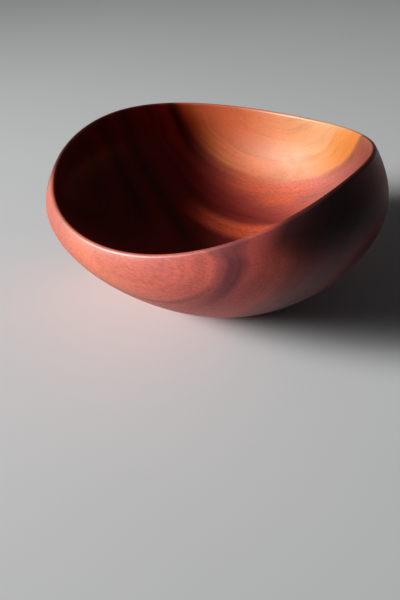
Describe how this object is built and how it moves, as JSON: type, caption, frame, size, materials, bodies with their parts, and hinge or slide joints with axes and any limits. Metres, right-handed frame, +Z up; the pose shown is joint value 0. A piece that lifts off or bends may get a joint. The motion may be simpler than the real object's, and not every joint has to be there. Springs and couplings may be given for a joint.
{
  "type": "oval wooden bowl",
  "caption": "Oval carved wooden bowl with an incurved wall, a leaning, undulating rounded rim and felt pads under its flat foot, for serving salad or fruit.",
  "frame": {"origin": "on the table under the middle of the oval, at the underside of the felt pads", "axes": "+X along the bowl's length, +Y across its width, +Z up; the rim is highest at the +X end and lowest at the -X -Y side"},
  "size_m": [0.2698, 0.2198, 0.1332],
  "materials": {
    "wood": "satin oil",
    "felt": "matte felt"
  },
  "bodies": {
    "root": {"bowl_body": "wood", "foot_pad_right_front": "felt", "foot_pad_right_back": "felt", "foot_pad_left_front": "felt", "foot_pad_left_back": "felt"}
  },
  "joints": []
}
